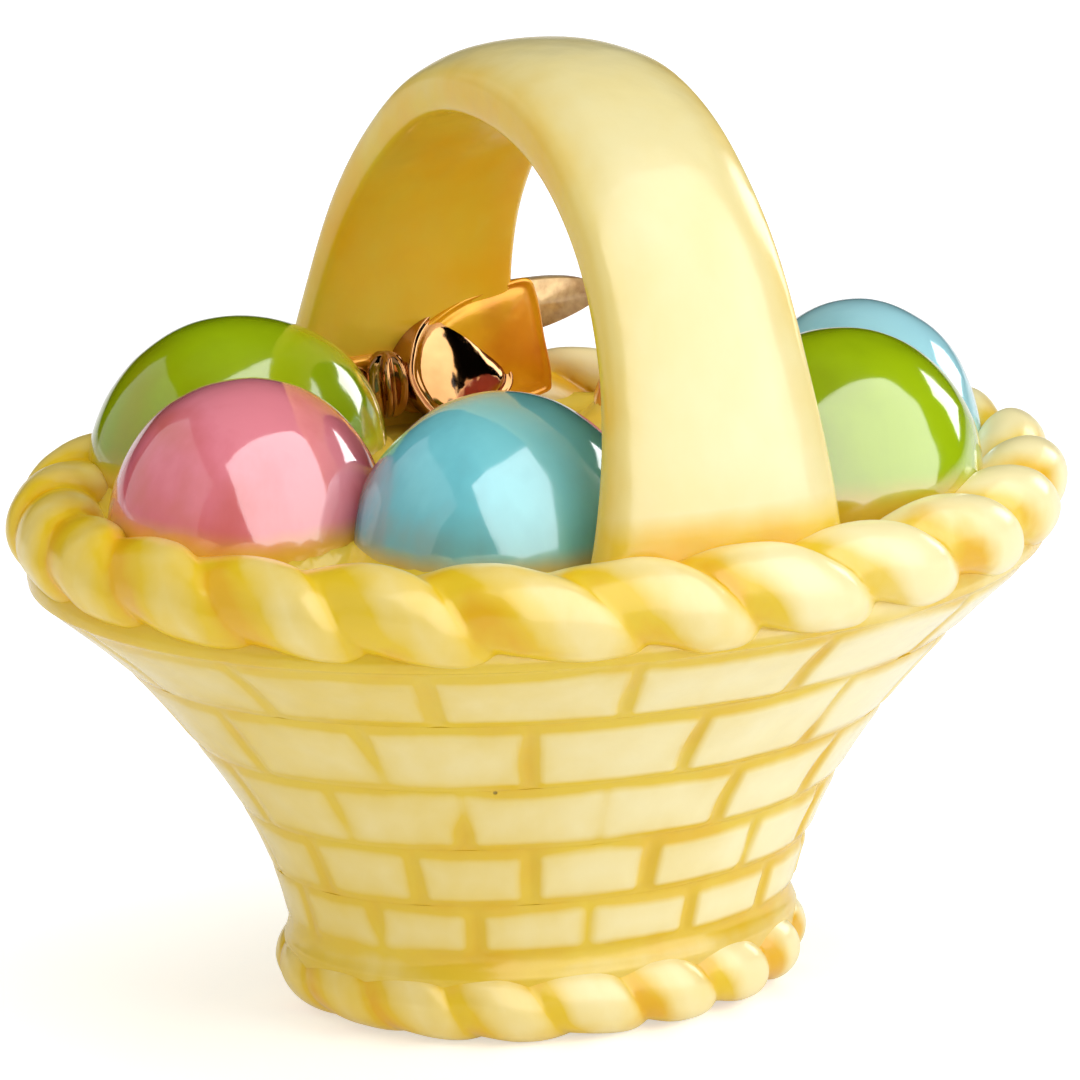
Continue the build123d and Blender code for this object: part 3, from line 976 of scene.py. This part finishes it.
def make_bed():
    shape = bmesh.new()
    around, rings = BED_AROUND, BED_RINGS
    crown = shape.verts.new(Vector((0, 0, bed_height(0, 0))) * MM)
    previous = None
    for r in range(1, rings + 1):
        row = []
        for k in range(around):
            turn = 2 * math.pi * k / around
            x = BED_HALF_LENGTH * r / rings * math.cos(turn)
            y = BED_HALF_WIDTH * r / rings * math.sin(turn)
            row.append(shape.verts.new(Vector((x, y, bed_height(x, y))) * MM))
        for k in range(around):
            after = (k + 1) % around
            if previous:
                shape.faces.new((previous[k], row[k], row[after], previous[after]))
            else:
                shape.faces.new((crown, row[k], row[after]))
        previous = row
    low = [shape.verts.new((v.co.x, v.co.y, BED_BOTTOM * MM)) for v in previous]
    for k in range(around):
        after = (k + 1) % around
        shape.faces.new((previous[k], low[k], low[after], previous[after]))
    shape.faces.new(list(reversed(low)))
    return finish_mesh("egg_bed_glazed", shape, bed_glaze)


settle(make_bed(), "yellow_glaze", "egg_bed")

# %% [markdown]
# ## Pillowed shapes for the bow
# Every flat part of the bow is a clay pillow: an outline of a few points joined by a smooth closed
# curve, a thin raised rim round it, and a dome in the middle. Rings of the outline shrink towards the
# centre, and a profile says how thick the pillow is on each ring.

# %% Pillow maker
LIP_FOOT = 0.22  # how far out a pillow's front stands at its edge, in mm
LIP_AT = 0.955  # the ring that the raised rim runs along
LIP_WIDTH = 0.035
DOME_EDGE = 0.86  # the ring where the dome begins
PILLOW_RINGS = [0.99, 0.975, 0.955, 0.935, 0.915, 0.89, 0.86, 0.82, 0.76, 0.68, 0.58, 0.46, 0.32, 0.16]
PILLOW_LUMP = 0.06
SPAN_STEPS = 10


def closed_curve(points, steps):
    """A smooth closed line through the points, by Catmull-Rom spans."""
    line = []
    count = len(points)
    for i in range(count):
        p0, p1, p2, p3 = (Vector(points[(i + k - 1) % count]) for k in range(4))
        for j in range(steps):
            t = j / steps
            bend = (2 * p0 - 5 * p1 + 4 * p2 - p3) * t * t + (3 * p1 - p0 - 3 * p2 + p3) * t ** 3
            line.append((2 * p1 + (p2 - p0) * t + bend) * 0.5)
    return line


def pillow(name, finish, outline, middle, face_y, dome, rim, side=-1, back=0.0, bow=0.0, turn=(0, 0)):
    """A pillow on an upright face. outline and middle are (x, z), and it swells towards side. back is
    how far its base reaches the other way, and bow how far its ends bend out. turn is how fast its
    front falls away to +X and upwards. The fall fades out towards the base, which stays behind it."""
    shape = bmesh.new()
    line = closed_curve(outline, SPAN_STEPS)
    heart = Vector(middle)
    count = len(line)

    def ring(share, out):
        row = []
        for p in line:
            flat = heart + (p - heart) * share
            bend = bow * ((flat.x - heart.x) / 6) ** 2
            fall = turn[0] * (flat.x - heart.x) + turn[1] * (flat.y - heart.y)
            bend -= fall * min(1.0, (out + back) / (back + LIP_FOOT))
            lump = noise.noise(Vector((flat.x, out, flat.y)) * 0.5) * PILLOW_LUMP
            place = Vector((flat.x, face_y + side * (out + bend + lump), flat.y))
            row.append(shape.verts.new(place * MM))
        return row

    def front(share):
        lip = rim * math.exp(-(((share - LIP_AT) / LIP_WIDTH) ** 2))
        body = dome * max(0.0, 1 - (min(share, DOME_EDGE) / DOME_EDGE) ** 2.4) ** 0.6
        return LIP_FOOT + lip + body

    rows = [ring(0.985, -back), ring(1.0, 0.1 - back * 0.5)]
    rows += [ring(share, front(share)) for share in PILLOW_RINGS]
    skin(shape, rows)
    tip = shape.verts.new(Vector((heart.x, face_y + side * (front(0) + 0.02), heart.y)) * MM)
    base = shape.verts.new(Vector((heart.x, face_y - side * back, heart.y)) * MM)
    for k in range(count):
        after = (k + 1) % count
        shape.faces.new((rows[-1][k], rows[-1][after], tip))
        shape.faces.new((rows[0][after], rows[0][k], base))
    bmesh.ops.recalc_face_normals(shape, faces=shape.faces)
    return finish_mesh(name, shape, finish)


print("pillow maker ready")

# %% [markdown]
# ## Bow
# The bow sits on the inner face of the far leg: a gathered knot, a puffed loop on each side of it and
# a wide flat ribbon behind the right loop that reaches past the leg's edge. A band carries the ribbon
# round the leg, and behind the leg two ribbon ends stand out to the sides.

# %% Bow
FACE_Y = 15.75
KNOT = (-1.3, 28.5)
KNOT_RADIUS = 0.9
KNOT_DEPTH = 1.25
KNOT_HALF_HEIGHT = 1.8
GATHERS = 6
KNOT_AROUND, KNOT_LEVELS = 96, 28
LOOP = [(-0.5, 28.7), (0.1, 30.3), (1.2, 31.3), (2.7, 31.7), (4.4, 31.0), (5.9, 29.2), (6.6, 27.8),
        (5.6, 26.9), (2.6, 26.0), (0.5, 26.9)]
FAN = [(-0.6, 28.4), (1.0, 30.6), (3.2, 32.0), (5.4, 32.6), (7.5, 32.9), (8.1, 32.0), (8.6, 29.6),
       (9.0, 27.3), (8.4, 26.5), (4.2, 26.2), (0.4, 26.6)]
TAIL = [(0.5, 30.7), (5.0, 31.6), (10.2, 31.75), (13.0, 31.35), (13.9, 30.6), (13.4, 30.0),
        (10.3, 29.1), (5.0, 28.8), (0.5, 29.2)]
SHORT_TAIL = [(1.2, 30.4), (-3.5, 30.9), (-7.6, 30.2), (-8.6, 29.4), (-7.8, 28.6), (-3.5, 28.2),
              (1.2, 28.9)]


def mirrored(outline, droop):
    """The same outline on the other side of the knot, flatter, as that loop hangs behind an egg."""
    return [(2 * KNOT[0] + 0.6 - x, KNOT[1] + (z - KNOT[1]) * droop - 0.3) for x, z in outline]


LOOP_FACE = FACE_Y - 0.75
TAIL_FACE = 19.4
PILLOWS = {  # outline, middle, face, dome and rim in mm; finish; further settings
    "loop_right": (
        LOOP, (2.9, 29.2), LOOP_FACE, 0.62, 0.16, gold_lustre, {"back": 2.1, "turn": (0.34, 0.56)},
    ),
    "loop_left": (mirrored(LOOP, 0.55), (-4.9, 28.6), LOOP_FACE, 0.9, 0.28, gold_lustre, {}),
    "tail_right": (TAIL, (8.0, 30.4), TAIL_FACE, 0.5, 0.0, gold_worn, {"side": 1, "back": 0.6, "bow": 0.3}),
    "tail_left": (SHORT_TAIL, (-4.8, 29.6), TAIL_FACE, 0.5, 0.0, gold_worn, {"side": 1, "back": 0.6}),
}
for name, (outline, middle, face_y, dome, rim, finish, extra) in PILLOWS.items():
    piece = pillow(f"bow_{name}_gold", finish, outline, middle, face_y, dome, rim, **extra)
    settle(piece, "gold_lustre", f"bow_{name}")


def make_knot():
    """A barrel with upright gathers, pinched at its ends."""
    shape = bmesh.new()
    rows = []
    for i in range(KNOT_LEVELS + 1):
        up = -1 + 2 * i / KNOT_LEVELS
        waist = max(0.0, 1 - abs(up) ** 2.6) ** 0.45
        row = []
        for k in range(KNOT_AROUND):
            turn = 2 * math.pi * k / KNOT_AROUND
            wave = math.cos(GATHERS * turn + 0.7 * math.sin(2.2 * up))
            gather = 1 + 0.25 * wave * (0.5 + 0.5 * waist)
            x = KNOT[0] + KNOT_RADIUS * waist * gather * math.cos(turn)
            y = FACE_Y - 1.35 + KNOT_DEPTH * waist * gather * math.sin(turn)
            row.append(shape.verts.new(Vector((x, y, KNOT[1] + KNOT_HALF_HEIGHT * up)) * MM))
        rows.append(row)
    skin(shape, rows)
    bmesh.ops.remove_doubles(shape, verts=shape.verts, dist=0.001 * MM)
    bmesh.ops.recalc_face_normals(shape, faces=shape.faces)
    return finish_mesh("bow_knot_gold", shape, gold_lustre)


settle(make_knot(), "gold_lustre", "bow_knot")

# %% [markdown]
# ## Ribbon round the leg
# The band follows the strap's own sections between two heights, standing a little proud of them, and
# the wide flat ribbon is one more pillow, with a low dome. Both make one piece, as two closed shells
# that overlap.

# %% Band
BAND_LOW = 27.8
BAND_HIGH = 29.8
BAND_PROUD = 0.38
BAND_STEPS = 6


def leg_station(height):
    """Where the far leg's inner curve passes a height, its outward direction and half width."""
    rise = min(max((height - ARCH_SPRING) / ARCH_RISE, 0.0), 1.0)
    turn = math.pi - math.asin(rise ** (ARCH_POWER_Z / 2))
    run = (arch_point(turn + 0.005) - arch_point(turn - 0.005)).normalized()
    half = (STRAP_TOP_WIDTH + STRAP_FLARE * (1 - rise) ** 2) / 2
    return arch_point(turn), run.cross(Vector((1, 0, 0))) * -1, half


def make_band():
    shape = bmesh.new()
    rings = []
    for i in range(BAND_STEPS + 1):
        origin, outward, half = leg_station(BAND_LOW + (BAND_HIGH - BAND_LOW) * i / BAND_STEPS)
        proud = BAND_PROUD if 0 < i < BAND_STEPS else BAND_PROUD * 0.3
        centre = STRAP_CROWN / 2
        ring = []
        for across, out in strap_outline(half):
            across += math.copysign(proud, across) if abs(across) > 0.1 else 0.0
            out += proud if out > centre * 0.6 else -proud
            ring.append(shape.verts.new((origin + Vector((across, 0, 0)) + outward * out) * MM))
        rings.append(ring)
    skin(shape, rings)
    cap(shape, rings)
    bmesh.ops.recalc_face_normals(shape, faces=shape.faces)
    bmesh.ops.subdivide_edges(shape, edges=shape.edges, cuts=3, smooth=1.0, use_grid_fill=True)
    return finish_mesh("band", shape, gold_wash)


def joined(name, finish, pieces):
    """One object from several, with all their meshes in it."""
    shape = bmesh.new()
    for piece in pieces:
        shape.from_mesh(piece.data)
        bpy.data.objects.remove(piece)
    return finish_mesh(name, shape, finish)


fan = pillow("fan", gold_wash, FAN, (4.8, 29.4), FACE_Y - 0.1, 0.30, 0.10)
settle(joined("ribbon_band_gold", gold_wash, [make_band(), fan]), "gold_lustre", "ribbon_band")
